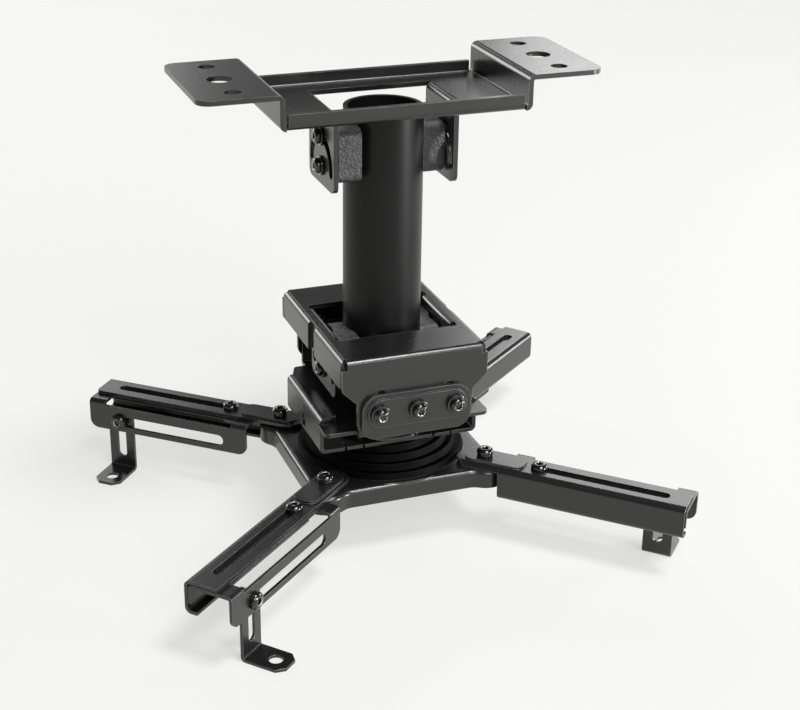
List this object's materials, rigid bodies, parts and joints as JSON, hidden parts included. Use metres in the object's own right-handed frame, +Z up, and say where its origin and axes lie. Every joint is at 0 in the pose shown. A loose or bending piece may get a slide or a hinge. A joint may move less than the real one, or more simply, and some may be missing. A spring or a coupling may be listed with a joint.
{
  "type": "projector ceiling mount",
  "caption": "Ceiling mount for a projector: a stepped plate and tilting drop tube carry a rolling box bracket and a swivelling spider with slotted arms that slide out to adjustable legs.",
  "frame": {"origin": "middle of the four ceiling bolt holes, on the face that meets the ceiling", "axes": "+X along the ceiling plate, +Y to the back, +Z up"},
  "size_m": [0.332, 0.309, 0.293],
  "materials": {
    "sheet": "satin black powder coat",
    "tube": "smooth satin black",
    "casting": "grainy cast dark grey",
    "hardware": "gloss black"
  },
  "bodies": {
    "ceiling": {"ceiling_plate": "sheet"},
    "drop_tube": {"tube": "tube", "saddle_block_top_left": "casting", "saddle_block_top_right": "casting", "saddle_block_lower_left": "casting", "saddle_block_lower_right": "casting", "tilt_screws_top": "hardware", "tilt_washers_top": "hardware", "tilt_screws_lower": "hardware", "tilt_washers_lower": "hardware"},
    "box": {"box_bracket": "sheet"},
    "slide": {"slide_plate": "sheet", "clamp_plate_front": "sheet", "clamp_plate_back": "sheet", "roll_screws": "hardware", "roll_washers": "hardware", "roll_nuts": "hardware"},
    "channel": {"swivel_channel": "sheet", "swivel_bolt": "hardware", "swivel_disc": "hardware", "swivel_nut": "hardware", "swivel_washer": "hardware"},
    "spider": {"spider": "sheet", "arm_pivot_screws": "hardware", "arm_pivot_nuts": "hardware", "arm_pivot_washers": "hardware", "arm_spacers": "hardware"},
    "arm_front_left": {"rail_front_left": "sheet"},
    "slider_front_left": {"slider_front_left": "sheet", "slot_screw_front_left": "hardware", "slot_nut_front_left": "hardware"},
    "carriage_front_left": {"leg_screw_front_left": "hardware", "leg_nut_front_left": "hardware"},
    "leg_front_left": {"leg_front_left": "sheet"},
    "arm_front_right": {"rail_front_right": "sheet"},
    "slider_front_right": {"slider_front_right": "sheet", "slot_screw_front_right": "hardware", "slot_nut_front_right": "hardware"},
    "carriage_front_right": {"leg_screw_front_right": "hardware", "leg_nut_front_right": "hardware"},
    "leg_front_right": {"leg_front_right": "sheet"},
    "arm_back_right": {"rail_back_right": "sheet"},
    "slider_back_right": {"slider_back_right": "sheet", "slot_screw_back_right": "hardware", "slot_nut_back_right": "hardware"},
    "carriage_back_right": {"leg_screw_back_right": "hardware", "leg_nut_back_right": "hardware"},
    "leg_back_right": {"leg_back_right": "sheet"},
    "arm_back_left": {"rail_back_left": "sheet"},
    "slider_back_left": {"slider_back_left": "sheet", "slot_screw_back_left": "hardware", "slot_nut_back_left": "hardware"},
    "carriage_back_left": {"leg_screw_back_left": "hardware", "leg_nut_back_left": "hardware"},
    "leg_back_left": {"leg_back_left": "sheet"}
  },
  "joints": [
    {"name": "top_tilt", "type": "hinge", "parent": "ceiling", "child": "drop_tube", "pos_m": [0, 0, -0.056], "axis": [1, 0, 0], "range_deg": [-90, 90]},
    {"name": "lower_tilt", "type": "hinge", "parent": "drop_tube", "child": "box", "pos_m": [0, 0, -0.187], "axis": [1, 0, 0], "range_deg": [-8, 8]},
    {"name": "roll", "type": "hinge", "parent": "box", "child": "slide", "pos_m": [0, 0, -0.191], "axis": [0, 1, 0], "range_deg": [-12, 12]},
    {"name": "quick_release", "type": "slide", "parent": "slide", "child": "channel", "axis": [0, 1, 0], "range_m": [0, 0.06]},
    {"name": "swivel", "type": "hinge", "parent": "channel", "child": "spider", "pos_m": [0, 0, -0.23], "axis": [0, 0, 1], "continuous": true},
    {"name": "swing_front_left", "type": "hinge", "parent": "spider", "child": "arm_front_left", "pos_m": [-0.0525, -0.048, -0.242], "axis": [0, 0, 1], "range_deg": [-26.5, 33.5]},
    {"name": "extend_front_left", "type": "slide", "parent": "arm_front_left", "child": "slider_front_left", "axis": [-0.749, -0.6626, 0], "range_m": [0, 0.075]},
    {"name": "shift_front_left", "type": "slide", "parent": "slider_front_left", "child": "carriage_front_left", "axis": [-0.749, -0.6626, 0], "range_m": [-0.073, 0]},
    {"name": "height_front_left", "type": "slide", "parent": "carriage_front_left", "child": "leg_front_left", "axis": [0, 0, 1], "range_m": [0, 0.024]},
    {"name": "swing_front_right", "type": "hinge", "parent": "spider", "child": "arm_front_right", "pos_m": [0.0525, -0.048, -0.242], "axis": [0, 0, 1], "range_deg": [-31, 29]},
    {"name": "extend_front_right", "type": "slide", "parent": "arm_front_right", "child": "slider_front_right", "axis": [0.7193, -0.6947, 0], "range_m": [0, 0.075]},
    {"name": "shift_front_right", "type": "slide", "parent": "slider_front_right", "child": "carriage_front_right", "axis": [0.7193, -0.6947, 0], "range_m": [-0.073, 0]},
    {"name": "height_front_right", "type": "slide", "parent": "carriage_front_right", "child": "leg_front_right", "axis": [0, 0, 1], "range_m": [0, 0.024]},
    {"name": "swing_back_right", "type": "hinge", "parent": "spider", "child": "arm_back_right", "pos_m": [0.0525, 0.048, -0.242], "axis": [0, 0, 1], "range_deg": [-24, 36]},
    {"name": "extend_back_right", "type": "slide", "parent": "arm_back_right", "child": "slider_back_right", "axis": [0.7771, 0.6293, 0], "range_m": [0, 0.075]},
    {"name": "shift_back_right", "type": "slide", "parent": "slider_back_right", "child": "carriage_back_right", "axis": [0.7771, 0.6293, 0], "range_m": [-0.073, 0]},
    {"name": "height_back_right", "type": "slide", "parent": "carriage_back_right", "child": "leg_back_right", "axis": [0, 0, 1], "range_m": [0, 0.024]},
    {"name": "swing_back_left", "type": "hinge", "parent": "spider", "child": "arm_back_left", "pos_m": [-0.0525, 0.048, -0.242], "axis": [0, 0, 1], "range_deg": [-34, 26]},
    {"name": "extend_back_left", "type": "slide", "parent": "arm_back_left", "child": "slider_back_left", "axis": [-0.7547, 0.6561, 0], "range_m": [0, 0.075]},
    {"name": "shift_back_left", "type": "slide", "parent": "slider_back_left", "child": "carriage_back_left", "axis": [-0.7547, 0.6561, 0], "range_m": [-0.073, 0]},
    {"name": "height_back_left", "type": "slide", "parent": "carriage_back_left", "child": "leg_back_left", "axis": [0, 0, 1], "range_m": [0, 0.024]}
  ]
}
